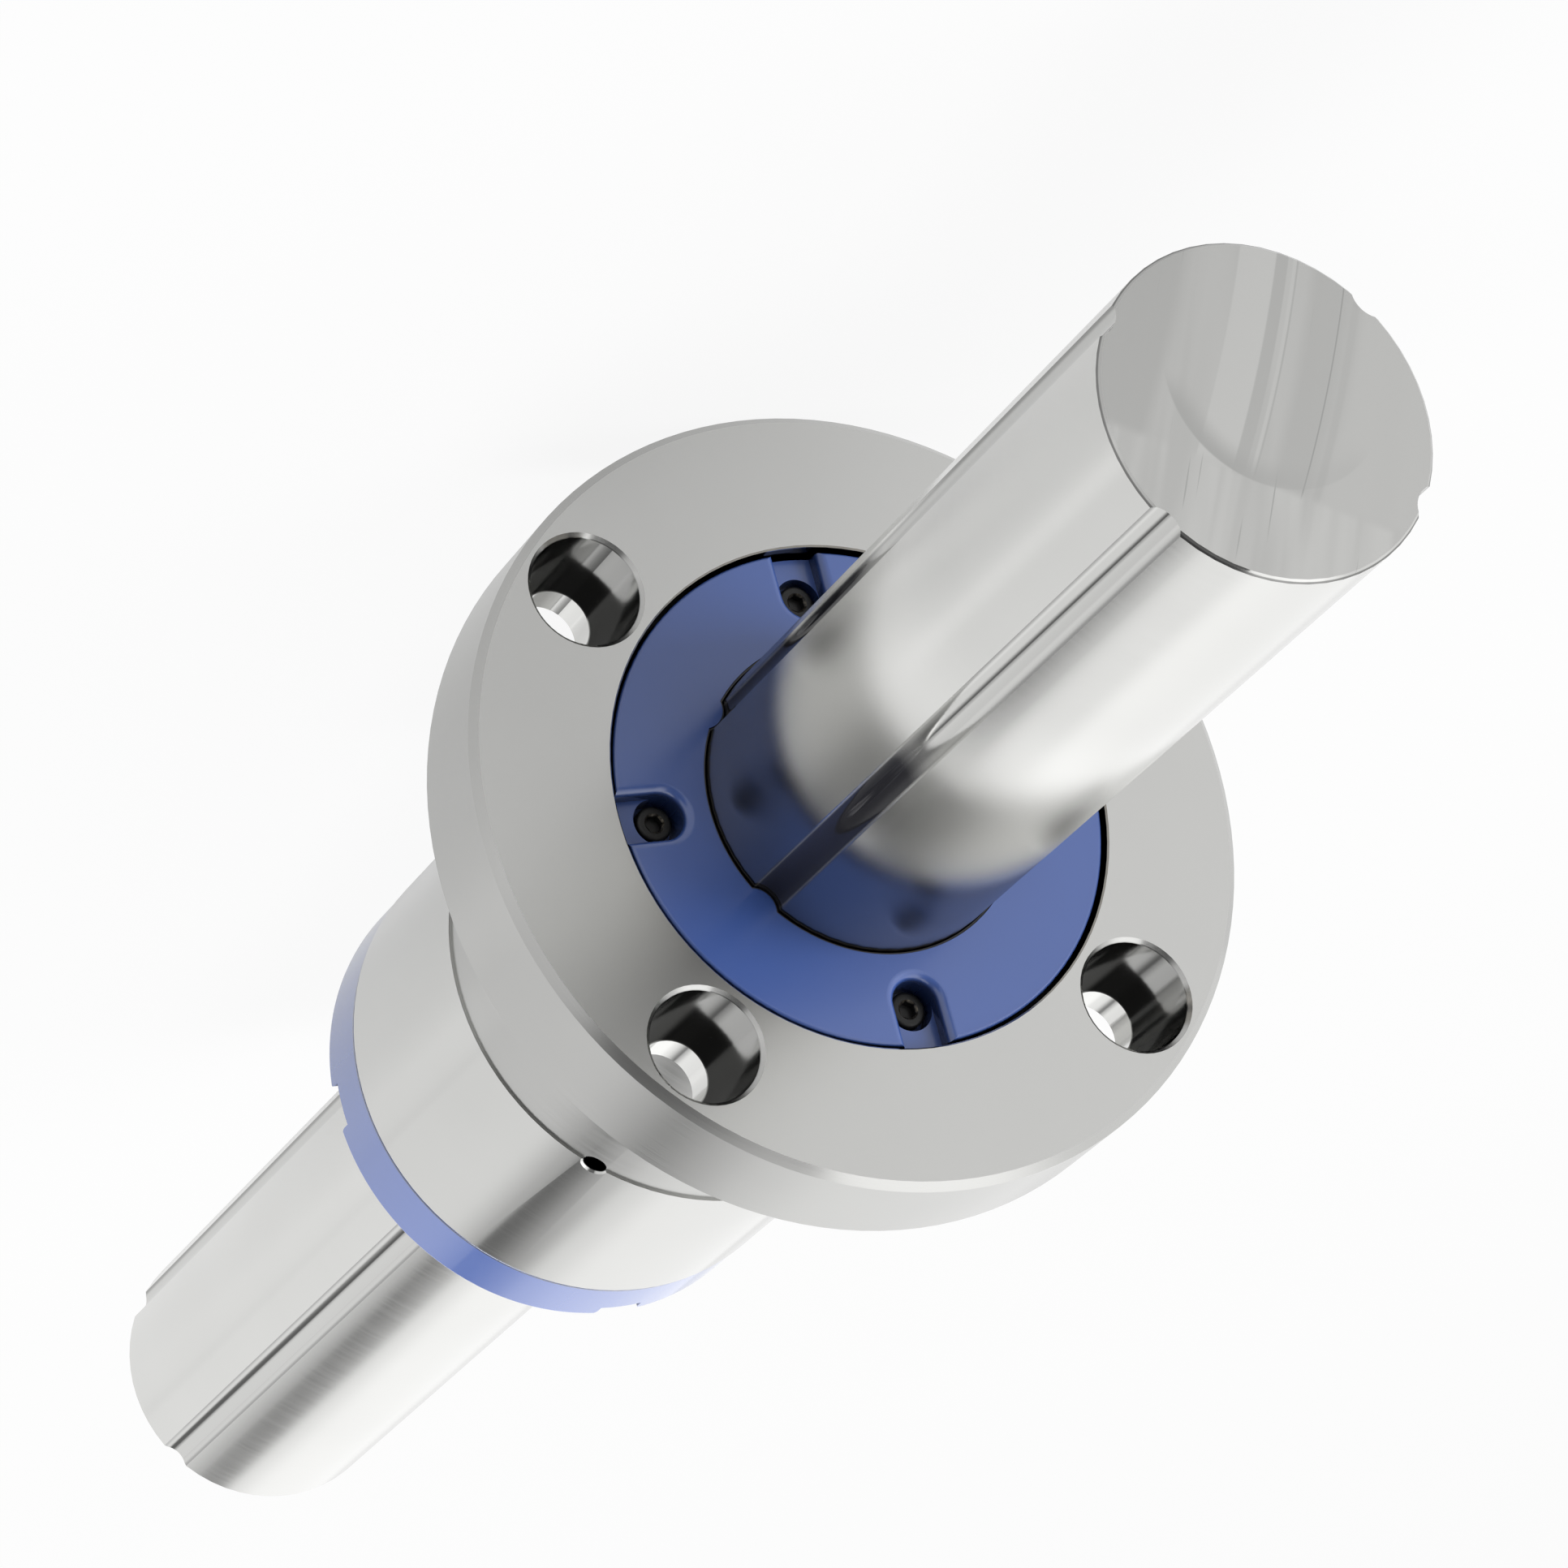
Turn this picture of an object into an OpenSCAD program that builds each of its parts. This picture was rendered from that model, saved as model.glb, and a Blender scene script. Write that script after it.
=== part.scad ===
// Flange-type ball spline: a grooved shaft that slides through a flanged ball nut without turning in it.
// X runs along the shaft towards the flange face, Z is up, and the origin is on the shaft's axis
// in the plane of the flange's seating face.

/* [Shaft] */
// Diameter of the shaft
shaft_d = 40; // [39:0.1:40.6]
// Length of the shaft
shaft_l = 324; // [260:1:600]
// How far the shaft stands out of the flange face
shaft_out = 105; // [30:1:140]
// Chamfer on the shaft's end edges
shaft_chamfer = 0.4; // [0.2:0.1:1]

/* [Balls and raceways] */
// Diameter of a ball, as a share of the wall from the shaft to the nut's outside
ball_share = 0.496; // [0.47:0.002:0.51]
// Height of the loaded balls' centres above the shaft's surface, as a share of a ball
rise_share = 0.346; // [0.342:0.002:0.356]
// Angle between the two grooves of the closer pair
groove_spread = 72; // [70:1:78]
// Distance from a loaded row to its return row, as a share of a ball
return_share = 1.36; // [1.34:0.01:1.4]
// Angle at which the balls are lifted off the shaft
return_lift = 33; // [32.6:0.2:36]
// Play between a ball and its raceways
ball_play = 0.1; // [0.08:0.01:0.14]
// Play between a ball and the walls of its return path
return_play = 0.15; // [0.12:0.01:0.2]

/* [Nut] */
// Outer diameter of the nut
body_d = 64; // [60:0.5:70]
// Length of the steel nut from the flange face to its rear face
body_l = 90; // [75:1:130]
// Radial depth of the relief next to the flange
relief_depth = 0.3; // [0.2:0.05:0.5]
// Distance from the seating face to the end of the relief and the oil hole
oil_x = 40; // [25:1:50]
// Angle of the oil hole from the Y axis
oil_angle = 52; // [51:1:56]
// Diameter of the oil hole
oil_d = 3; // [2:0.1:3.4]
// Chamfer on the mouth of the oil hole
oil_chamfer = 0.35; // [0.2:0.05:0.6]
// How far the loaded balls' centres stand outside the nut's bore
bore_drop = 0.4; // [0.3:0.05:0.5]
// Chamfer on the nut's rear edge
nut_chamfer = 0.4; // [0.2:0.1:0.8]

/* [Flange] */
// Outer diameter of the flange
flange_d = 100; // [99:0.5:120]
// Thickness of the flange
flange_t = 15; // [14:0.5:20]
// Chamfer on the flange's front edge
flange_chamfer = 1; // [0.4:0.1:1.2]
// Chamfer on the flange's rear edge
flange_back_chamfer = 0.4; // [0.2:0.1:0.8]
// Metal between a counterbore and the flange's rim, and between it and the nut's outside
counterbore_rim = 2; // [1.6:0.1:3]
// Width of the ledge under a bolt's head
counterbore_ledge = 2.5; // [1.5:0.1:3]
// Depth of the counterbores
counterbore_depth = 10.5; // [6:0.5:11.5]
// Chamfer on the mouths of the counterbores
counterbore_chamfer = 0.5; // [0.2:0.05:0.6]

/* [End caps] */
// Thickness of an end cap outside the turn of the balls
cap_wall = 2.3; // [2:0.1:4]
// How much smaller an end cap is than the nut, in radius
cap_step = 0.1; // [0.05:0.05:0.3]
// Gap between the front cap and the wall of its recess
recess_gap = 0.5; // [0.3:0.05:0.8]
// How far the front cap lies below the flange face
cap_sink = 0.5; // [0.2:0.1:0.8]
// Rounding of the caps' outer edge
cap_edge_r = 0.5; // [0.3:0.1:0.8]
// Gap from the shaft to the caps' bores and to the ball keepers
cap_gap = 0.4; // [0.35:0.01:0.5]
// Width of a screw slot
slot_w = 5.8; // [5.7:0.1:6.4]
// Depth of a screw slot below the cap's face
slot_depth = 2.4; // [2:0.1:3]
// Rounding of a slot's lips
slot_lip_r = 1.2; // [0.4:0.1:1.4]

/* [Cap screws] */
// Place of the cap screws across the wall, from the shaft to the nut's outside
screw_place = 0.538; // [0.52:0.001:0.6]
// Diameter of a screw's head
head_d = 4.5; // [4:0.1:5]
// Height of a screw's head
head_h = 2.5; // [2.2:0.1:3]
// How far a head lies below the floor of its slot
head_sink = 0.4; // [0.1:0.1:0.6]
// Width across the flats of the hexagon socket
hex_w = 2; // [1.5:0.1:2.5]
// Depth of the hexagon socket
hex_depth = 1.2; // [1:0.1:1.6]
// Diameter of a screw's shank
screw_d = 2.5; // [2:0.1:3]
// Length of a screw under its head
screw_l = 10; // [8:0.5:12]
// Gap round a screw's shank in the nut and in the cap
screw_gap = 0.05; // [0.03:0.01:0.1]
// Room left below the end of a screw
tap_room = 1.4; // [0.5:0.1:3]

/* [Seals and ball keepers] */
// Height of a seal's lip
seal_h = 2; // [1.6:0.1:2]
// Gap between a seal's lip and the shaft
seal_gap = 0.15; // [0.12:0.01:0.2]
// How far a seal's lip lies below the cap's face
seal_sink = 0.2; // [0.1:0.1:0.4]
// Thickness of the bead that holds a seal in its cap
bead_t = 0.8; // [0.6:0.1:1]
// How far the bead stands out of the seal's lip
bead_out = 0.8; // [0.6:0.1:0.9]
// Play between a piece and its seat inside an end cap
seat_play = 0.05; // [0.03:0.01:0.1]
// Gap between a ball keeper and the nut's bore
keeper_play = 0.1; // [0.05:0.01:0.15]
// Width of the tab that holds a ball keeper in an end cap
tab_w = 6; // [4:0.5:8]
// Length of the tab
tab_l = 2; // [1:0.5:3]
// How much narrower a return guide is than the balls' channel
guide_step = 0.65; // [0.5:0.05:1]

/* [Hidden] */
$fn = 96;
ball_fn = 48;
over = 1;
rows = 4;

shaft_r = shaft_d / 2;
shaft_front = flange_t + shaft_out;
shaft_rear = shaft_front - shaft_l;

nut_r = body_d / 2;
wall = nut_r - shaft_r;
ball_d = ball_share * wall;
ball_r = ball_d / 2;
raceway_r = ball_r + ball_play;
channel_r = ball_r + return_play;
load_r = shaft_r + rise_share * ball_d;
row_pitch = return_share * ball_d;
turn_r = row_pitch / 2;
cap_t = turn_r + channel_r + cap_wall;
groove_angles = [groove_spread / 2, 180 - groove_spread / 2, 180 + groove_spread / 2, 360 - groove_spread / 2];
return_sides = [-1, 1, -1, 1];

relief_r = nut_r - relief_depth;
bore_r = load_r - bore_drop;
nut_rear = flange_t - body_l;
cap_r = nut_r - cap_step;
recess_r = cap_r + recess_gap;
recess_edge = 0.2;
nut_front = flange_t - cap_t - cap_sink;
flange_r = flange_d / 2;
bolt_r = (flange_r + nut_r) / 2;
counterbore_d = flange_r - nut_r - 2 * counterbore_rim;
bolt_hole_d = counterbore_d - 2 * counterbore_ledge;
bolt_angles = [45, 135, 225, 315];

screw_r = shaft_r + screw_place * wall;
screw_angles = [0, 90, 180, 270];
pocket_depth = head_h + head_sink;
screw_seat = cap_t - slot_depth - pocket_depth;
tap_depth = screw_l - screw_seat + tap_room;
hex_tip_d = hex_w / cos(30);

seal_out = cap_gap - seat_play;
seal_top = cap_t - seal_sink;
bead_r = shaft_r + seal_out + bead_out;
bead_top = seal_top - (seal_h - bead_t) / 2;

guide_w = 2 * channel_r - guide_step;
keeper_in = shaft_r + cap_gap;
keeper_out = bore_r - keeper_play;

// A point in the Y-Z plane, given by its distance and angle from the shaft's axis
function polar(radius, angle) = [radius * cos(angle), radius * sin(angle)];

// One ball loop: the loaded row, the turn at the front, the return row and the turn at the rear
function load_point(i) = polar(load_r, groove_angles[i]);
function return_point(i) =
    load_point(i) + polar(row_pitch, groove_angles[i] + return_sides[i] * (90 - return_lift));
function turn_centre(i) = (load_point(i) + return_point(i)) / 2;
function turn_angle(i) = atan2(return_point(i)[1] - load_point(i)[1], return_point(i)[0] - load_point(i)[0]);
row_l = nut_front - nut_rear;
turn_l = PI * turn_r;
loop_l = 2 * (row_l + turn_l);

// Along the bend, neighbouring balls are closer in a straight line than along the path
ball_gap = 0.03;
ball_step = 2 * turn_r * asin((ball_d + ball_gap) / (2 * turn_r)) * PI / 180;
ball_count = floor(loop_l / ball_step);

// Station along the shaft and place across the loop of a point at a distance along the path
function loop_point(along) =
    along < row_l ? [nut_rear + along, -turn_r]
    : along < row_l + turn_l ? front_turn_point((along - row_l) / turn_r * 180 / PI)
    : along < 2 * row_l + turn_l ? [nut_front - (along - row_l - turn_l), turn_r]
    : rear_turn_point((along - 2 * row_l - turn_l) / turn_r * 180 / PI);
function front_turn_point(angle) = [nut_front + turn_r * sin(angle), -turn_r * cos(angle)];
function rear_turn_point(angle) = [nut_rear - turn_r * sin(angle), turn_r * cos(angle)];

// A profile in the Y-Z plane, carried along X from one station to another
module along_x(from, to) {
    translate([from, 0, 0])
        rotate([90, 0, 90])
            linear_extrude(to - from)
                children();
}

// A half profile of [radius, station] points, turned about X
module turned(points) {
    rotate([0, 90, 0])
        rotate_extrude()
            polygon(points);
}

// A round bar or drill along X at a distance and angle from the axis
module rod(from, to, r, radius, angle) {
    rotate([angle, 0, 0])
        translate([from, radius, 0])
            rotate([0, 90, 0])
                cylinder(h = to - from, r = r);
}

// A bore from end to end of the nut at a point of the Y-Z plane
module row_bore(point, r) {
    along_x(nut_rear - over, nut_front + over)
        translate(point)
            circle(r = r);
}

// The cone that breaks the edge of a hole along X whose mouth faces +X
module mouth_chamfer(station, r, size, radius, angle) {
    rotate([angle, 0, 0])
        translate([station - size, radius, 0])
            rotate([0, 90, 0])
                cylinder(h = size + over, r1 = r, r2 = r + size + over);
}

// The ring that breaks an outer edge; side is 1 for an end that faces +X and -1 for -X
module edge_chamfer(r, station, size, side) {
    turned([
        [r - size - over, station + side * over],
        [r + over, station + side * over],
        [r + over, station - side * (size + over)]
    ]);
}

// The shaft's cross-section, grown by a gap
module shaft_section(gap = 0) {
    difference() {
        circle(r = shaft_r + gap);
        for (angle = groove_angles)
            translate(polar(load_r, angle))
                circle(r = raceway_r - gap);
    }
}

// Places an end cap's pieces: they are drawn with the nut's end face at X = 0 and outwards along +X
module at_end(front) {
    if (front)
        translate([nut_front, 0, 0])
            children();
    else
        translate([nut_rear, 0, 0])
            mirror([1, 0, 0])
                children();
}

// Places the turn of one ball loop: Y runs from the loaded row to the return hole
module at_turn(i) {
    translate([0, turn_centre(i)[0], turn_centre(i)[1]])
        rotate([turn_angle(i), 0, 0])
            children();
}

module spline_shaft() {
    color("gainsboro")
        difference() {
            along_x(shaft_rear, shaft_front)
                shaft_section();
            edge_chamfer(shaft_r, shaft_front, shaft_chamfer, 1);
            edge_chamfer(shaft_r, shaft_rear, shaft_chamfer, -1);
        }
}

// The turned blank of the nut: body, relief, flange and the recess for the front cap
module nut_blank() {
    turned([
        [bore_r, nut_rear],
        [nut_r - nut_chamfer, nut_rear],
        [nut_r, nut_rear + nut_chamfer],
        [nut_r, -oil_x],
        [relief_r, -oil_x],
        [relief_r, 0],
        [flange_r - flange_back_chamfer, 0],
        [flange_r, flange_back_chamfer],
        [flange_r, flange_t - flange_chamfer],
        [flange_r - flange_chamfer, flange_t],
        [recess_r + recess_edge, flange_t],
        [recess_r, flange_t - recess_edge],
        [recess_r, nut_front],
        [bore_r, nut_front]
    ]);
}

module bolt_hole(angle) {
    rod(-over, flange_t + over, bolt_hole_d / 2, bolt_r, angle);
    rod(flange_t - counterbore_depth, flange_t + over, counterbore_d / 2, bolt_r, angle);
    mouth_chamfer(flange_t, counterbore_d / 2, counterbore_chamfer, bolt_r, angle);
}

module oil_hole() {
    rotate([oil_angle, 0, 0])
        translate([-oil_x, 0, 0])
            rotate([-90, 0, 0]) {
                translate([0, 0, shaft_r])
                    cylinder(h = nut_r, d = oil_d);
                translate([0, 0, nut_r - oil_chamfer])
                    cylinder(h = oil_chamfer + over, d1 = oil_d, d2 = oil_d + 2 * (oil_chamfer + over));
            }
}

module flanged_nut() {
    color("silver")
        difference() {
            nut_blank();
            for (i = [0:rows - 1]) {
                row_bore(load_point(i), raceway_r);
                row_bore(return_point(i), channel_r);
            }
            for (angle = screw_angles) {
                rod(nut_front - tap_depth, nut_front + over, screw_d / 2 + screw_gap, screw_r, angle);
                rod(nut_rear - over, nut_rear + tap_depth, screw_d / 2 + screw_gap, screw_r, angle);
            }
            for (angle = bolt_angles)
                bolt_hole(angle);
            oil_hole();
        }
}

// Half of a slot's cross-section: its wall, and the lip that rounds into the cap's face
module slot_half() {
    square([slot_w / 2, slot_depth + over]);
    difference() {
        translate([0, slot_depth - slot_lip_r])
            square([slot_w / 2 + slot_lip_r, slot_lip_r + over]);
        translate([slot_w / 2 + slot_lip_r, slot_depth - slot_lip_r])
            circle(r = slot_lip_r);
    }
}

// The U-shaped slot of one screw: round at its inner end and open at the cap's rim
module screw_slot() {
    translate([cap_t - slot_depth, screw_r, 0]) {
        rotate([0, 90, 0])
            rotate_extrude()
                slot_half();
        for (side = [0, 1])
            mirror([0, 0, side])
                rotate([-90, -90, 0])
                    linear_extrude(nut_r)
                        slot_half();
    }
}

// The pocket for the turn of one ball loop and for the guide inside the bend
module turn_pocket() {
    rotate_extrude() {
        translate([turn_r, 0])
            circle(r = channel_r);
        translate([0, -guide_w / 2 - seat_play])
            square([turn_r, guide_w + 2 * seat_play]);
    }
}

// The ring in which the ball keepers lie, with room all round
module keeper_ring(room = 0) {
    difference() {
        circle(r = keeper_out + room);
        circle(r = keeper_in - room);
    }
}

// The part of that ring that a keeper's tab takes up
module keeper_tab(angle, room = 0) {
    intersection() {
        keeper_ring(room);
        rotate(angle)
            translate([0, -tab_w / 2 - room])
                square([nut_r, tab_w + 2 * room]);
    }
}

module end_cap(front) {
    color("royalblue")
        at_end(front)
            difference() {
                turned([[0, 0], [cap_r, 0], [cap_r, cap_t], [0, cap_t]]);
                rounded_rim();
                along_x(-over, cap_t + over)
                    shaft_section(cap_gap);
                along_x(bead_top - bead_t - seat_play, bead_top + seat_play)
                    circle(r = bead_r + seat_play);
                for (i = [0:rows - 1]) {
                    at_turn(i)
                        turn_pocket();
                    along_x(-over, tab_l + seat_play)
                        keeper_tab(keeper_middle(i), seat_play);
                }
                for (angle = screw_angles) {
                    rotate([angle, 0, 0])
                        screw_slot();
                    rod(screw_seat, cap_t, slot_w / 2, screw_r, angle);
                    rod(-over, cap_t, screw_d / 2 + screw_gap, screw_r, angle);
                }
            }
}

// What is cut from a cap's outer corner to round it
module rounded_rim() {
    rotate([0, 90, 0])
        rotate_extrude()
            difference() {
                translate([cap_r - cap_edge_r, cap_t - cap_edge_r])
                    square(cap_edge_r + over);
                translate([cap_r - cap_edge_r, cap_t - cap_edge_r])
                    circle(r = cap_edge_r);
            }
}

// One socket head screw with the underside of its head at X = 0 and its head towards +X
module cap_screw() {
    rotate([0, 90, 0])
        difference() {
            union() {
                cylinder(h = head_h, d = head_d);
                translate([0, 0, -screw_l])
                    cylinder(h = screw_l + head_h / 2, d = screw_d);
            }
            translate([0, 0, head_h - hex_depth])
                cylinder(h = hex_depth + over, d = hex_tip_d, $fn = 6);
        }
}

module cap_screws(front) {
    color("dimgray")
        at_end(front)
            for (angle = screw_angles)
                rotate([angle, 0, 0])
                    translate([screw_seat, screw_r, 0])
                        cap_screw();
}

// A lip that follows the grooved shaft, with a bead that snaps into the cap
module seal(front) {
    color("black")
        at_end(front)
            difference() {
                union() {
                    along_x(seal_top - seal_h, seal_top)
                        shaft_section(seal_out);
                    along_x(bead_top - bead_t, bead_top)
                        circle(r = bead_r);
                }
                along_x(seal_top - seal_h - over, seal_top + over)
                    shaft_section(seal_gap);
            }
}

// The saddle inside the bend of one ball loop
module return_guide(front, i) {
    color("ivory")
        at_end(front)
            difference() {
                at_turn(i)
                    rotate([0, 0, -90])
                        rotate_extrude(angle = 180)
                            difference() {
                                translate([0, -guide_w / 2])
                                    square([turn_r, guide_w]);
                                translate([turn_r, 0])
                                    circle(r = channel_r);
                            }
                along_x(-over, cap_t)
                    shaft_section(cap_gap);
            }
}

// A keeper fills the space between two neighbouring ball rows
function keeper_start(i) = groove_angles[i] - (i == rows - 1 ? 360 : 0);
function keeper_end(i) = groove_angles[(i + 1) % rows];
function keeper_middle(i) = (keeper_start(i) + keeper_end(i)) / 2;

module ball_keeper(i) {
    color("wheat")
        union() {
            along_x(nut_rear, nut_front)
                difference() {
                    intersection() {
                        keeper_ring();
                        polygon([
                            [0, 0],
                            polar(body_d, keeper_start(i)),
                            polar(body_d, keeper_middle(i)),
                            polar(body_d, keeper_end(i))
                        ]);
                    }
                    for (angle = groove_angles)
                        translate(polar(load_r, angle))
                            circle(r = raceway_r);
                }
            along_x(nut_rear - tab_l, nut_front + tab_l)
                keeper_tab(keeper_middle(i));
        }
}

module ball_circuit(i) {
    color("whitesmoke")
        for (n = [0:ball_count - 1]) {
            place = loop_point(n * loop_l / ball_count);
            at_turn(i)
                translate([place[0], place[1], 0])
                    sphere(d = ball_d, $fn = ball_fn);
        }
}

spline_shaft();
flanged_nut();
end_cap(true);  // front_end_cap
end_cap(false);  // rear_end_cap
cap_screws(true);  // front_cap_screws
cap_screws(false);  // rear_cap_screws
seal(true);  // front_seal
seal(false);  // rear_seal
for (i = [1:rows]) {
    return_guide(true, i - 1);
    return_guide(false, i - 1);
    ball_keeper(i - 1);
    ball_circuit(i - 1);
}
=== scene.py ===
"""Looks of a flange-type ball spline: finishes, fine detail, floor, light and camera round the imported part."""
import math

import bmesh
import bpy
from mathutils import Matrix, Vector


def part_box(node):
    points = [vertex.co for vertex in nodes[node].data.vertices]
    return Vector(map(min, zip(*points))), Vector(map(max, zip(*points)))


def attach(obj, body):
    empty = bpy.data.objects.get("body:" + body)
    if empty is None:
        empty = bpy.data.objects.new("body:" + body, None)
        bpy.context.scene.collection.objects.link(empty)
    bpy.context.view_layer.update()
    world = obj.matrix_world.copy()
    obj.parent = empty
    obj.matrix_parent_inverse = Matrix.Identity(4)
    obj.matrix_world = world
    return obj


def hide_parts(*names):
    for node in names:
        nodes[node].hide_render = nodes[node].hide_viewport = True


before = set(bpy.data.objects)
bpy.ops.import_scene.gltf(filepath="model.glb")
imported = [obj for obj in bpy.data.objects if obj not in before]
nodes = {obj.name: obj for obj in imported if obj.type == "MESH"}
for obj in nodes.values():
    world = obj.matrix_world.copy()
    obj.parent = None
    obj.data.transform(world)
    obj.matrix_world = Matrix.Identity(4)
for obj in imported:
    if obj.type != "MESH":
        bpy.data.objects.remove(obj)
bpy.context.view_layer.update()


def radians(*degrees):
    return [math.radians(angle) for angle in degrees]


# Sizes of the part, in metres
BOLT_PLACE = 0.028991       # Y and Z of a bolt hole's axis
BOLT_HOLE_R = 0.0045
COUNTERBORE_R = 0.007
FLANGE_R = 0.050
FLANGE_FACE = 0.015
NUT_END = -0.075
NUT_R = 0.032
RELIEF_END = -0.040         # rear end of the relief behind the flange
OIL_ANGLE = math.radians(52)
OIL_R = 0.0015
CAP_R = 0.0319
CAP_SINK = 0.0005
SHAFT_R = 0.020
SHAFT_CHAMFER = 0.0004

# Cap screws
SCREW_CIRCLE = 0.026456
SCREW_COUNT = 4
SCREW_SIDES = 96
SHANK_R = 0.00125
TIP_BEVEL = 0.0003
EASE = 0.0002               # eased edges under the head
HEAD_R = 0.00225
HEAD_H = 0.0025
HEAD_BEVEL = 0.0004
HEAD_BEVEL_ANGLES = (0, 0.4, 0.8, 1.2, math.pi / 2)
KNURL_DEPTH = 0.00005
SOCKET_FLAT = 0.001         # from the socket's axis to a flat
SOCKET_MOUTH = 0.00128
SOCKET_BEVEL = 0.00022
SOCKET_MIDDLE = 0.0007
SOCKET_DEPTH = 0.0012
SMOOTH_ANGLE = math.radians(35)
ROUND, KNURLED, HEXAGONAL = range(3)

# Marks on the shaft's end
SAW_ANGLE = math.radians(26)
SAW_BEND = 2.6              # how far the saw marks bend aside, per square of the way from where they run straight
SAW_STRAIGHT = -0.014
SAW_END = 0.0085            # where the long marks end, along themselves
SAW_MARKS = (               # place across the end, half the width, how soft the edges are, tone
    (0.0165, 0.0035, 0.0020, 0.465), (0.0038, 0.0020, 0.0003, 0.575), (0.0009, 0.0006, 0.0002, 0.470),
    (-0.0006, 0.0001, 0.0002, 0.560), (-0.00095, 0.00005, 0.0001, 0.465), (-0.0050, 0.0012, 0.0018, 0.480),
    (-0.00665, 0.00004, 0.00008, 0.370), (-0.0083, 0.0002, 0.0005, 0.485), (-0.0150, 0.0050, 0.0015, 0.535))
SMEAR_R = 0.0128            # arc of a smear, how far it fades inwards, and its centre along the saw marks
SMEAR_FADE = 0.0035
SMEAR_PLACE = -0.004

# Painted shade and rubbing on the shaft beside the nut, along X from the nut's origin
GROOVE_SHADE_END = 0.058            # where the painted shade in the grooves ends, and how far clouds move that end
GROOVE_SHADE_WAVER = 0.006
GROOVE_SHADE_COVER = 0.5            # how much the painted groove shade hides the metal
NEAR_CAP_SHADE_END = 0.0345            # where the wall darkened with painted shade beside the front cap ends
NEAR_CAP_SHADE_FADE = 0.003
RUN_FADE = 0.025            # how far past the painted groove shade the fine lines drawn by the seal fade out
RUN_ROUGH = 0.27            # these lines run along the shaft and blur what it shows sideways

# Tones of the steel, as shares of white. Two are the ends of a slow change.
SHAFT_TONES = (0.67, 0.72)
GROOVE_TONE = 0.60
LIP_SHADE_TONE = 0.34             # steep sides of a groove, darkened with painted shade
RUN_TONE = 0.86
# painted shade on the wall beside the front cap
NEAR_CAP_SHADE_COLOUR = (0.44, 0.42, 0.39, 1.0)
# painted shade in the grooves beside the nut
GROOVE_SHADE_COLOUR = (0.030, 0.030, 0.036, 1.0)
# painted shade on the outer part of the end chamfers
CHAMFER_SHADE_TONE = 0.22
SAWN_TONES = (0.50, 0.535)
END_TONES = (0.50, 0.58)    # past the long saw marks
SMEAR_TONE = 0.43
SCRATCH_TONE = 0.42
NUT_TONES = (0.60, 0.64)
DULL_TONES = (0.47, 0.52)   # walls of the flange and the relief
FACE_TONES = (0.57, 0.60)
RECESS_SHADE_TONE = 0.012         # painted shade on the wall round the front cap
# Counterbore walls darkened with painted shade; bolt holes brightened with painted light
COUNTERBORE_SHADE_TONE = 0.36
SEAT_SHADE_TONE = 0.12            # bottom of a counterbore, darkened further with painted shade
BOLT_HOLE_LIGHT_TONE = 0.78
# painted shade inside the oil hole
OIL_HOLE_SHADE_TONE = 0.01

# Roughness. Two are the ends of what a fine pattern changes.
SHAFT_ROUGH = (0.16, 0.19)
GROOVE_ROUGH = 0.07
END_ROUGH = (0.30, 0.36)
NUT_ROUGH = (0.10, 0.13)
DULL_ROUGH = (0.20, 0.24)
FACE_ROUGH = (0.275, 0.295)
HOLE_ROUGH = 0.12
CAP_ROUGH = 0.24
SEAL_ROUGH = 0.6
PLASTIC_ROUGH = 0.4
GRAIN_ROUGH = 0.03          # what a plastic's grain adds and takes away
COAT_ROUGH = 0.08

# Patterns, as periods per metre: slow clouds, and fine lines across and along the way they were cut
SHAFT_CLOUDS = 38
NUT_CLOUDS = 45
PLASTIC_CLOUDS = 60
PLASTIC_GRAIN = 2600
GRIND_LINES = (1400, 60)
LATHE_LINES = 2600
STREAKS = (230, 20)
SCRATCHES = (1500, 45)

# Plastics, each between two colours
CAP_BLUE = (0.050, 0.102, 0.33, 1), (0.055, 0.109, 0.355, 1)
# painted shade on the caps' slot walls and rims
CAP_SHADE = (0.004, 0.006, 0.016, 1)
GUIDE_WHITE = (0.80, 0.79, 0.74, 1), (0.74, 0.73, 0.68, 1)
KEEPER_CREAM = (0.75, 0.70, 0.58, 1), (0.68, 0.63, 0.52, 1)
SEAL_BLACK = (0.010, 0.010, 0.010, 1), (0.016, 0.016, 0.016, 1)

# Camera
AIM = Vector((0.00129, 0.0025, -0.00724))
DISTANCE = 0.7846
AZIMUTH = math.radians(28.95)
ELEVATION = math.radians(17.95)
ROLL = math.radians(164.86)
LENS = 148.73
SENSOR = 36.0
CLIP_START = 0.01

# Light tent. Angles run round from straight behind the part. Two are where a change begins and ends.
WALL_LIGHT = 1.0
SHADE_LIGHT = 0.85
SHADE_EDGE = radians(24, 42)
WINDOW_LIGHT = 1.22
WINDOW_RISE = radians(-40, -16)
WINDOW_START = 0.6          # share of the window's light before it rises
WINDOW_FALL = radians(-14, -2)
FRONT_LIGHT = 0.12
FRONT_AZIMUTH = math.radians(18)    # from X, and the front's edges to either side of it
FRONT_EDGE = radians(22, 32)
TOP_LIGHT = 1.7
TOP_EDGE = (0.64, 0.80)     # as sines of the elevation, like the flag's heights below
FLAG_LIGHT = 0.16
FLAG_SIDE = radians(-4, 2)
FLAG_LOW = 0.40             # the flag's lower edge, and above it the one of its notch
FLAG_NOTCH = 0.455
NOTCH_SIDE = radians(11, 17)
FLAG_HAZE = 0.11            # how far below its lower edge the flag dims the wall
FLAG_TOP = 0.480
FLAG_TILT = 0.15
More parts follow.
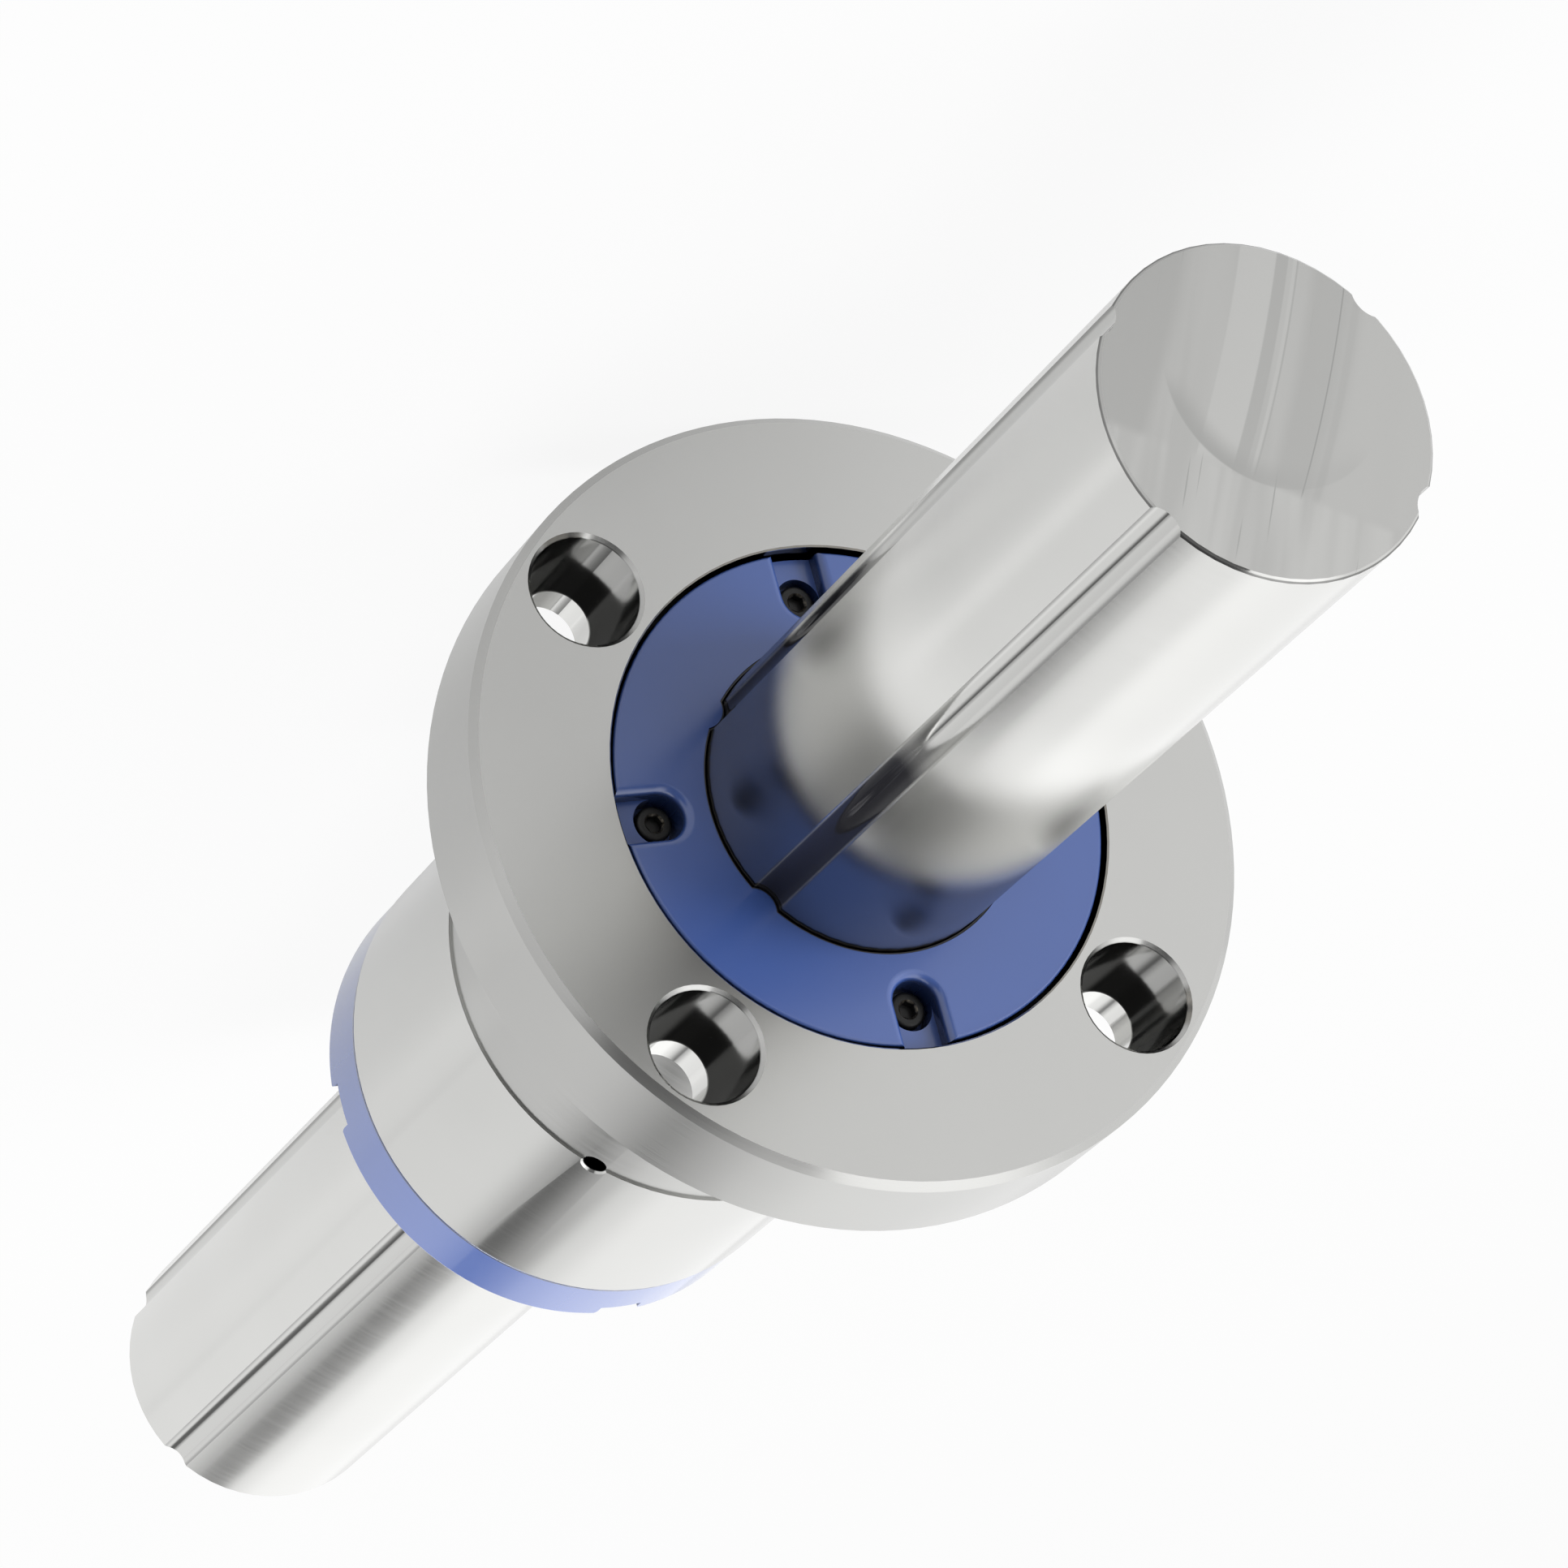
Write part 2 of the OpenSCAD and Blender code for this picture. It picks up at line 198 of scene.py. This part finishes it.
LAMPS = (                   # name, place, size, watts, whether metal shows it
    ("overhead_lamp", (-0.35, 0.55, 1.10), 0.8, 11, True),
    ("side_lamp", (0.57, -0.74, 0.23), 0.5, 5.5, False))

# Floor
FLOOR_HALF = 4.0
FLOOR_GAP = 0.0003          # below the flange
FLOOR_TONES = (0.45, 0.49)
FLOOR_WHITE = 0.90          # share of plain white in the floor that the camera sees, and in the one that metal shows
FLOOR_GLOSS = 0.82
FLOOR_NEAR = 0.25           # what is left of the latter close to the part's left
NEAR_SIDE = (-0.03, 0.10)
NEAR_SLANT = 0.6
NEAR_EDGE = (0.12, 0.40)


class Graph:
    """The node tree of a material or of the world, with short calls for the nodes used here."""

    def __init__(self, tree):
        self.tree = tree
        self.tree.nodes.clear()

    def add(self, kind, **settings):
        node = self.tree.nodes.new(kind)
        for name, value in settings.items():
            setattr(node, name, value)
        return node

    def feed(self, socket, value):
        """Links an output to a socket, or sets the socket to a plain value."""
        if isinstance(value, bpy.types.NodeSocket):
            self.tree.links.new(value, socket)
        elif value is not None:
            socket.default_value = value

    def math(self, operation, a, b=None):
        node = self.add("ShaderNodeMath", operation=operation)
        for socket, value in zip(node.inputs, (a, b)):
            self.feed(socket, value)
        return node.outputs[0]

    def plus(self, a, b):
        return self.math("ADD", a, b)

    def minus(self, a, b):
        return self.math("SUBTRACT", a, b)

    def times(self, a, b):
        return self.math("MULTIPLY", a, b)

    def largest(self, a, b):
        return self.math("MAXIMUM", a, b)

    def size(self, a):
        return self.math("ABSOLUTE", a)

    def distance(self, a, b):
        return self.math("SQRT", self.plus(self.times(a, a), self.times(b, b)))

    def step(self, value, low, high, out_low=0.0, out_high=1.0):
        """A soft step from out_low to out_high as value goes from low to high."""
        node = self.add("ShaderNodeMapRange", interpolation_type="SMOOTHSTEP")
        for socket, v in zip(node.inputs, (value, low, high, out_low, out_high)):
            self.feed(socket, v)
        return node.outputs[0]

    def fall(self, value, low, high):
        """A soft step from 1 to 0."""
        return self.step(value, low, high, 1.0, 0.0)

    def blend(self, factor, a, b):
        """A plain number between a and b."""
        return self.plus(a, self.times(factor, self.minus(b, a)))

    def mix(self, factor, a, b):
        """A colour between a and b."""
        node = self.add("ShaderNodeMix", data_type="RGBA")
        self.feed(node.inputs["Factor"], factor)
        self.feed(node.inputs["A"], a)
        self.feed(node.inputs["B"], b)
        return node.outputs["Result"]

    def steels(self, factor, tones):
        return self.mix(factor, steel(tones[0]), steel(tones[1]))

    def coordinates(self, kind, thing=None):
        """Texture coordinates of one kind. Object coordinates can be those of another thing."""
        return self.add("ShaderNodeTexCoord", object=thing).outputs[kind]

    def split(self, vector):
        node = self.add("ShaderNodeSeparateXYZ")
        self.feed(node.inputs[0], vector)
        return node.outputs

    def join(self, x, y, z):
        node = self.add("ShaderNodeCombineXYZ")
        for socket, value in zip(node.inputs, (x, y, z)):
            self.feed(socket, value)
        return node.outputs[0]

    def noise(self, vector, scale, detail=2.0, distortion=0.0):
        node = self.add("ShaderNodeTexNoise")
        self.feed(node.inputs["Vector"], vector)
        for name, value in (("Scale", scale), ("Detail", detail), ("Roughness", 0.5), ("Distortion", distortion)):
            node.inputs[name].default_value = value
        return node.outputs["Fac"]

    def bump(self, height, strength, distance=0.00003):
        node = self.add("ShaderNodeBump")
        self.feed(node.inputs["Height"], height)
        node.inputs["Strength"].default_value = strength
        node.inputs["Distance"].default_value = distance
        return node.outputs[0]

    def principled(self, **inputs):
        shader = self.add("ShaderNodeBsdfPrincipled")
        for name, value in inputs.items():
            self.feed(shader.inputs[name.replace("_", " ")], value)
        out = self.add("ShaderNodeOutputMaterial")
        self.tree.links.new(shader.outputs[0], out.inputs["Surface"])


def new_material(name):
    material = bpy.data.materials.new(name)
    material.use_nodes = True
    return material, Graph(material.node_tree)


def grey(value):
    return (value, value, value, 1.0)


def steel(value):
    """A grey with a touch of warmth."""
    return (value, value, 0.978 * value, 1.0)


def turned_coordinates(g):
    """The plain object coordinates, then each of them, and the distance from the shaft's axis, which is X."""
    place = g.coordinates("Object")
    x, y, z = g.split(place)
    return place, x, y, z, g.distance(y, z)


def end_faces(g):
    """1 on surfaces square to the shaft's axis, 0 on its walls."""
    return g.step(g.size(g.split(g.coordinates("Normal"))[0]), 0.90, 0.98)


def sawn_end(g, y, z):
    """Colour and roughness of the shaft's ends: bent saw marks, a smear and scratches."""
    across = g.minus(g.times(y, math.cos(SAW_ANGLE)), g.times(z, math.sin(SAW_ANGLE)))
    along = g.plus(g.times(y, math.sin(SAW_ANGLE)), g.times(z, math.cos(SAW_ANGLE)))
    streak = g.noise(g.join(0.0, g.times(across, STREAKS[0]), g.times(along, STREAKS[1])), 1.0, distortion=0.4)
    scratch = g.noise(g.join(0.0, g.times(across, SCRATCHES[0]), g.times(along, SCRATCHES[1])), 1.0, 1.0)
    way = g.minus(along, SAW_STRAIGHT)
    bent = g.minus(across, g.times(g.times(way, way), SAW_BEND))
    sawn = g.fall(along, SAW_END - 0.0008, SAW_END + 0.0008)
    streaked = g.step(streak, 0.35, 0.65)
    colour = g.mix(sawn, g.steels(streaked, END_TONES), g.steels(streaked, SAWN_TONES))
    for centre, half, soft, tone in SAW_MARKS:
        mark = g.fall(g.size(g.minus(bent, centre)), half, half + soft)
        colour = g.mix(g.times(sawn, mark), colour, steel(tone))
    arc = g.distance(across, g.minus(along, SMEAR_PLACE))
    smear = g.times(g.step(arc, SMEAR_R - SMEAR_FADE, SMEAR_R), g.fall(arc, SMEAR_R, SMEAR_R + 0.0003))
    smear = g.times(smear, g.times(g.step(along, -0.001, 0.004), g.step(across, -0.007, 0.004, 0.3, 1.0)))
    colour = g.mix(smear, colour, steel(SMEAR_TONE))
    colour = g.mix(g.step(scratch, 0.73, 0.78), colour, steel(SCRATCH_TONE))
    return colour, g.step(streak, 0.3, 0.7, *END_ROUGH)


def shaft_material():
    """Ground walls, smoother grooves with steep sides darkened by painted shade, sawn ends with chamfers darkened by
    painted shade, painted shade in the grooves and on the wall beside the nut, and rubbed lines that stay beside the
    nut.
    """
    material, g = new_material("polished_shaft_steel")
    place, x, y, z, radius = turned_coordinates(g)
    face = end_faces(g)
    lines_x, lines_yz = GRIND_LINES
    grind = g.noise(g.join(g.times(x, lines_x), g.times(y, lines_yz), g.times(z, lines_yz)), 1.0, 3.0)
    cloud = g.noise(place, SHAFT_CLOUDS, 3.0)
    normal_x, normal_y, normal_z = g.split(g.coordinates("Normal"))
    edge = g.step(normal_x, 0.3, 0.6)
    outward = g.math("DIVIDE", g.plus(g.times(y, normal_y), g.times(z, normal_z)), radius)
    lip = g.fall(outward, 0.70, 0.82)
    groove = g.fall(radius, SHAFT_R - 0.0004, SHAFT_R - 0.0001)
    rim = g.step(radius, SHAFT_R - 0.6 * SHAFT_CHAMFER, SHAFT_R - 0.4 * SHAFT_CHAMFER)
    # painted shade on the outer part of the end chamfers
    chamfer = g.times(g.times(edge, rim), g.minus(1.0, face))

    out = g.split(g.coordinates("Object", nodes["flanged_nut"]))[0]
    beside = g.step(out, -FLANGE_FACE, 0.0)
    # painted shade in the grooves beside the nut, held in the nut's coordinates
    groove_shade = g.fall(g.plus(out, g.times(cloud, GROOVE_SHADE_WAVER)), GROOVE_SHADE_END - 0.003, GROOVE_SHADE_END + 0.006)
    groove_shade = g.times(g.times(groove, g.minus(1.0, face)), g.times(groove_shade, beside))
    run = g.times(g.fall(out, GROOVE_SHADE_END, GROOVE_SHADE_END + RUN_FADE), beside)
    run = g.times(run, g.minus(1.0, g.largest(groove, face)))
    # painted shade darkening the wall beside the front cap
    near_cap_shade = g.fall(out, NEAR_CAP_SHADE_END - NEAR_CAP_SHADE_FADE, NEAR_CAP_SHADE_END + NEAR_CAP_SHADE_FADE)

    wall_colour = g.mix(groove, g.steels(cloud, SHAFT_TONES), steel(GROOVE_TONE))
    # painted shade on the steep sides of the grooves
    wall_colour = g.mix(lip, wall_colour, steel(LIP_SHADE_TONE))
    wall_colour = g.mix(run, wall_colour, g.mix(near_cap_shade, steel(RUN_TONE), NEAR_CAP_SHADE_COLOUR))
    wall_colour = g.mix(groove_shade, wall_colour, GROOVE_SHADE_COLOUR)
    wall_rough = g.blend(groove, g.step(grind, 0.2, 0.8, *SHAFT_ROUGH), GROOVE_ROUGH)
    wall_rough = g.blend(run, wall_rough, RUN_ROUGH)
    face_colour, face_rough = sawn_end(g, y, z)
    colour = g.mix(g.largest(face, edge), wall_colour, face_colour)
    g.principled(
        Base_Color=g.mix(chamfer, colour, steel(CHAMFER_SHADE_TONE)),
        Metallic=g.minus(1.0, g.times(groove_shade, GROOVE_SHADE_COVER)),
        Roughness=g.blend(face, wall_rough, face_rough),
        Anisotropic=run,
        Tangent=g.add("ShaderNodeTangent", direction_type="RADIAL", axis="X").outputs[0],
        Normal=g.bump(grind, 0.02))
    return material


def nut_material():
    """Ground walls, duller turned faces, counterbores darkened with painted shade round bolt holes brightened with
    painted light, and painted shade on the wall round the front cap and in the oil hole.
    """
    material, g = new_material("ground_nut_steel")
    place, x, y, z, radius = turned_coordinates(g)
    face = end_faces(g)
    lathe = g.noise(g.join(g.times(x, LATHE_LINES), g.times(radius, LATHE_LINES), 0.0), 1.0)
    cloud = g.noise(place, NUT_CLOUDS, 3.0)

    off = g.distance(g.minus(g.size(y), BOLT_PLACE), g.minus(g.size(z), BOLT_PLACE))
    hole = g.fall(off, COUNTERBORE_R + 0.00003, COUNTERBORE_R + 0.00012)
    through = g.fall(off, BOLT_HOLE_R + 0.00005, BOLT_HOLE_R + 0.0002)
    # painted shade on the counterbores' walls and seats, painted light in the bolt holes
    hole_shade_and_light = g.mix(face, steel(COUNTERBORE_SHADE_TONE), steel(SEAT_SHADE_TONE))
    hole_shade_and_light = g.mix(through, hole_shade_and_light, steel(BOLT_HOLE_LIGHT_TONE))

    cap_face = FLANGE_FACE - CAP_SINK
    sunk = g.times(g.step(x, 0.004, 0.005), g.fall(x, cap_face, cap_face + 0.0001))
    recess = g.times(sunk, g.fall(radius, NUT_R + 0.0006, NUT_R + 0.0007))
    flange = g.step(radius, NUT_R + 0.001, NUT_R + 0.002)
    relief = g.times(g.step(x, RELIEF_END, RELIEF_END + 0.0001), g.fall(radius, NUT_R - 0.0002, NUT_R - 0.0001))
    dull = g.largest(flange, relief)
    across = g.minus(g.times(z, math.cos(OIL_ANGLE)), g.times(y, math.sin(OIL_ANGLE)))
    oil = g.fall(g.distance(across, g.minus(x, RELIEF_END)), OIL_R + 0.00003, OIL_R + 0.0001)

    wall = g.mix(dull, g.steels(cloud, NUT_TONES), g.steels(cloud, DULL_TONES))
    metal = g.mix(face, wall, g.steels(cloud, FACE_TONES))
    # painted shade: the wall of the recess round the front cap is blackened
    metal = g.mix(recess, metal, steel(RECESS_SHADE_TONE))
    # painted shade blackens the inside of the oil hole
    metal = g.mix(g.times(oil, g.step(z, 0.0, 0.001)), metal, steel(OIL_HOLE_SHADE_TONE))
    rough, dull_rough, face_rough = (g.step(lathe, 0.25, 0.75, *ends) for ends in (NUT_ROUGH, DULL_ROUGH, FACE_ROUGH))
    rough = g.blend(face, g.blend(dull, rough, dull_rough), face_rough)
    g.principled(
        Base_Color=g.mix(hole, metal, hole_shade_and_light),
        Metallic=1.0,
        Roughness=g.blend(hole, rough, HOLE_ROUGH),
        Normal=g.bump(lathe, 0.003))
    return material


def moulded(g, place, colours, roughness, dark=None, coat=None):
    """The shader of a moulded plastic: a fine grain and slow changes of colour, blackened with painted shade where dark
    is 1.
    """
    grain = g.noise(place, PLASTIC_GRAIN)
    paint = g.mix(g.noise(place, PLASTIC_CLOUDS, 3.0), *colours)
    g.principled(
        Base_Color=paint if dark is None else g.mix(dark, paint, CAP_SHADE),
        Roughness=g.step(grain, 0.2, 0.8, roughness - GRAIN_ROUGH, roughness + GRAIN_ROUGH),
        Specular_IOR_Level=1.0,
        Coat_Weight=coat,
        Coat_Roughness=COAT_ROUGH,
        Normal=g.bump(grain, 0.012))


def plastic_material(name, colours, roughness):
    material, g = new_material(name)
    moulded(g, g.coordinates("Object"), colours, roughness)
    return material


def cap_material():
    """Blue plastic, with painted shade on the walls of the screw slots, where the front cap's rim faces the wall of its
    recess, and on the rear cap's rim at its joint with the nut.
    """
    material, g = new_material("blue_cap_plastic")
    place, x, _, _, radius = turned_coordinates(g)
    wall = g.fall(g.size(g.split(g.coordinates("Normal"))[0]), 0.15, 0.75)
    rim = g.step(radius, CAP_R - 0.0002, CAP_R - 0.0001)
    front = g.step(x, -0.01, 0.0)
    back = g.minus(1.0, front)
    joint = g.times(back, g.step(x, NUT_END - 0.0003, NUT_END - 0.0002, 0.0, 0.85))
    # painted shade: on the slot walls, and stronger on the front rim in its recess and on the rear rim at the joint
    dark = g.times(wall, g.blend(rim, 0.75, g.largest(joint, g.times(front, 0.95))))
    moulded(g, place, CAP_BLUE, CAP_ROUGH, dark, g.times(rim, back))
    return material


def screw_material():
    material, g = new_material("black_oxide_steel")
    cloud = g.noise(g.coordinates("Object"), 900, 3.0)
    g.principled(
        Base_Color=g.mix(cloud, grey(0.010), grey(0.022)),
        Metallic=0.3,
        Roughness=g.step(cloud, 0.3, 0.7, 0.30, 0.44))
    return material


def worn_material():
    """Where a key has rubbed the black finish of a socket down to brownish steel."""
    material, g = new_material("worn_socket_steel")
    wear = g.noise(g.coordinates("Object"), 2600, 3.0)
    g.principled(
        Base_Color=g.mix(g.step(wear, 0.35, 0.65), (0.03, 0.028, 0.026, 1), (0.13, 0.115, 0.09, 1)),
        Metallic=0.8,
        Roughness=g.step(wear, 0.3, 0.7, 0.42, 0.28))
    return material


def ball_material():
    material, g = new_material("bearing_ball_steel")
    cloud = g.noise(g.coordinates("Object"), 700, 3.0)
    g.principled(
        Base_Color=g.mix(cloud, grey(0.80), grey(0.86)),
        Metallic=1.0,
        Roughness=g.step(cloud, 0.3, 0.7, 0.04, 0.09))
    return material


def dress(names, material):
    for name in names:
        mesh = nodes[name].data
        mesh.materials.clear()
        mesh.materials.append(material)


def starting(*starts):
    return [name for name in nodes if name.startswith(starts)]


def hexagon(angle):
    """Distance from a hexagon's centre to its edge, with a corner at angle 0 and its flats at distance 1."""
    return 1 / math.cos(angle % (math.pi / 3) - math.pi / 6)


def screw_rings(length):
    """Rings of a socket head screw from its tip to the bottom of its socket: height above the head's underside,
    radius, shape and whether the wall up to it is worn."""
    bevel = [(HEAD_H - HEAD_BEVEL * (1 - math.sin(t)), HEAD_R - HEAD_BEVEL * (1 - math.cos(t)), ROUND, False)
             for t in HEAD_BEVEL_ANGLES]
    return [
        (-length, SHANK_R - TIP_BEVEL, ROUND, False),
        (-length + TIP_BEVEL, SHANK_R, ROUND, False),
        (-EASE, SHANK_R, ROUND, False),
        (0, SHANK_R + EASE, ROUND, False),
        (0, HEAD_R - EASE, ROUND, False),
        (EASE, HEAD_R, ROUND, False),
        (2 * EASE, HEAD_R, KNURLED, False),
        (HEAD_H - HEAD_BEVEL - EASE, HEAD_R, KNURLED, False),
        *bevel,
        (HEAD_H, SOCKET_MOUTH, ROUND, False),
        (HEAD_H - SOCKET_BEVEL, SOCKET_FLAT, HEXAGONAL, True),
        (HEAD_H - SOCKET_MIDDLE, SOCKET_FLAT, HEXAGONAL, False),
        (HEAD_H - SOCKET_DEPTH, SOCKET_FLAT, HEXAGONAL, False)]


def add_screw(bm, seat, side, angle, length):
    """One screw whose head faces along side * X, on the screw circle at an angle from the Y axis."""
    cos, sin = math.cos(angle), math.sin(angle)
    rows = []
    for height, radius, shape, worn in screw_rings(length):
        row = []
        for k in range(SCREW_SIDES):
            turn = 2 * math.pi * k / SCREW_SIDES
            r = radius
            if shape == HEXAGONAL:
                r *= hexagon(turn)
            elif shape == KNURLED and k % 2:
                r -= KNURL_DEPTH
            y, z = SCREW_CIRCLE + r * math.cos(turn), r * math.sin(turn)
            row.append(bm.verts.new((seat + side * height, y * cos - z * sin, y * sin + z * cos)))
        rows.append((row, worn))
    for (low, _), (high, worn) in zip(rows, rows[1:]):
        for k in range(SCREW_SIDES):
            after = (k + 1) % SCREW_SIDES
            ring = (low[k], low[after], high[after], high[k])
            bm.faces.new(ring if side > 0 else ring[::-1]).material_index = int(worn)
    tip, bottom = rows[0][0], rows[-1][0]
    bm.faces.new(tip[::-1] if side > 0 else tip)
    bm.faces.new(bottom if side > 0 else bottom[::-1])


def make_screws(node, side, materials):
    low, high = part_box(node)
    seat = (high.x if side > 0 else low.x) - side * HEAD_H
    length = high.x - low.x - HEAD_H
    bm = bmesh.new()
    for k in range(SCREW_COUNT):
        add_screw(bm, seat, side, 2 * math.pi * k / SCREW_COUNT, length)
    mesh = bpy.data.meshes.new(node + "_detail")
    bm.to_mesh(mesh)
    bm.free()
    mesh.polygons.foreach_set("use_smooth", [True] * len(mesh.polygons))
    mesh.set_sharp_from_angle(angle=SMOOTH_ANGLE)
    for material in materials:
        mesh.materials.append(material)
    screws = bpy.data.objects.new(node + "_detail", mesh)
    bpy.context.scene.collection.objects.link(screws)
    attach(screws, "nut")
    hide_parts(node)


def make_floor():
    """A pale floor that keeps the part's shadow, nearly white to the camera and less so in the metal."""
    mesh = bpy.data.meshes.new("floor")
    height = -FLANGE_R - FLOOR_GAP
    corners = ((-1, -1), (1, -1), (1, 1), (-1, 1))
    mesh.from_pydata([(a * FLOOR_HALF, b * FLOOR_HALF, height) for a, b in corners], [], [(0, 1, 2, 3)])
    floor = bpy.data.objects.new("floor", mesh)
    bpy.context.scene.collection.objects.link(floor)
    material, g = new_material("pale_floor")
    place = g.coordinates("Object")
    matte = g.add("ShaderNodeBsdfDiffuse")
    g.feed(matte.inputs["Color"], g.mix(g.noise(place, 9), grey(FLOOR_TONES[0]), grey(FLOOR_TONES[1])))
    white = g.add("ShaderNodeEmission")
    path = g.add("ShaderNodeLightPath").outputs
    x, y, _ = g.split(place)
    aside = g.plus(y, g.times(g.size(x), NEAR_SLANT))
    near = g.times(g.step(aside, *NEAR_SIDE), g.fall(g.distance(x, y), *NEAR_EDGE))
    glossy = g.largest(path["Is Glossy Ray"], path["Is Transmission Ray"])
    glossy = g.times(glossy, g.blend(near, FLOOR_GLOSS, FLOOR_GLOSS * FLOOR_NEAR))
    both = g.add("ShaderNodeMixShader")
    g.feed(both.inputs[0], g.largest(g.times(path["Is Camera Ray"], FLOOR_WHITE), glossy))
    g.feed(both.inputs[1], matte.outputs[0])
    g.feed(both.inputs[2], white.outputs[0])
    g.feed(g.add("ShaderNodeOutputMaterial").inputs["Surface"], both.outputs[0])
    mesh.materials.append(material)


def make_sky():
    """A light tent: bright walls and a brighter top, an unlit front, and a dark flag that hangs behind the part."""
    world = bpy.data.worlds.new("light_tent")
    world.use_nodes = True
    bpy.context.scene.world = world
    g = Graph(world.node_tree)
    x, y, z = g.split(g.coordinates("Generated"))
    behind = g.math("ARCTAN2", y, g.times(x, -1.0))
    ahead = g.size(g.minus(g.math("ARCTAN2", y, x), FRONT_AZIMUTH))
    window = g.times(g.step(behind, *WINDOW_RISE, WINDOW_START, 1.0), g.fall(behind, *WINDOW_FALL))
    wall = g.mix(g.step(behind, *SHADE_EDGE), grey(WALL_LIGHT), grey(SHADE_LIGHT))
    wall = g.mix(window, wall, grey(WINDOW_LIGHT))
    wall = g.mix(g.fall(ahead, *FRONT_EDGE), wall, grey(FRONT_LIGHT))
    wall = g.mix(g.step(z, *TOP_EDGE), wall, grey(TOP_LIGHT))
    above = g.minus(z, g.step(behind, *NOTCH_SIDE, FLAG_LOW, FLAG_NOTCH))
    past = g.minus(z, g.plus(FLAG_TOP, g.times(behind, FLAG_TILT)))
    cloth = g.largest(g.step(above, -FLAG_HAZE, 0.0, 0.0, 0.5), g.step(above, -0.008, 0.008))
    cloth = g.times(cloth, g.fall(past, -0.06, 0.06))
    flag = g.times(g.step(behind, *FLAG_SIDE), cloth)
    light = g.add("ShaderNodeBackground")
    g.feed(light.inputs["Color"], g.mix(flag, wall, grey(FLAG_LIGHT)))
    g.feed(g.add("ShaderNodeOutputWorld").inputs["Surface"], light.outputs[0])


def make_lamp(name, place, size, watts, shown):
    """A round lamp that shines at the middle of the part."""
    data = bpy.data.lights.new(name, "AREA")
    data.shape = "DISK"
    data.size = size
    data.energy = watts
    lamp = bpy.data.objects.new(name, data)
    lamp.location = place
    lamp.rotation_euler = (-Vector(place)).to_track_quat("-Z", "Y").to_euler()
    lamp.visible_glossy = shown
    bpy.context.scene.collection.objects.link(lamp)


def make_camera():
    data = bpy.data.cameras.new("camera")
    data.lens = LENS
    data.sensor_width = SENSOR
    data.clip_start = CLIP_START
    flat = math.cos(ELEVATION)
    back = Vector((flat * math.cos(AZIMUTH), flat * math.sin(AZIMUTH), math.sin(ELEVATION)))
    level = Vector((-math.sin(AZIMUTH), math.cos(AZIMUTH), 0.0))
    upright = back.cross(level)
    right = math.cos(ROLL) * level + math.sin(ROLL) * upright
    up = back.cross(right)
    turn = Matrix((right, up, back)).transposed().to_4x4()
    camera = bpy.data.objects.new("camera", data)
    camera.matrix_world = Matrix.Translation(AIM + DISTANCE * back) @ turn
    bpy.context.scene.collection.objects.link(camera)
    bpy.context.scene.camera = camera


make_camera()
make_floor()
make_sky()
for lamp_settings in LAMPS:
    make_lamp(*lamp_settings)

dress(["spline_shaft"], shaft_material())
dress(["flanged_nut"], nut_material())
dress(["front_end_cap", "rear_end_cap"], cap_material())
screw_finishes = screw_material(), worn_material()
make_screws("front_cap_screws", 1, screw_finishes)
make_screws("rear_cap_screws", -1, screw_finishes)
guide_plastic = plastic_material("guide_plastic", GUIDE_WHITE, PLASTIC_ROUGH)
dress(["front_seal", "rear_seal"], plastic_material("seal_rubber", SEAL_BLACK, SEAL_ROUGH))
dress(starting("front_return_guide", "rear_return_guide"), guide_plastic)
dress(starting("ball_keeper"), plastic_material("keeper_plastic", KEEPER_CREAM, PLASTIC_ROUGH))
dress(starting("ball_circuit"), ball_material())

bpy.context.scene.view_settings.view_transform = "Standard"
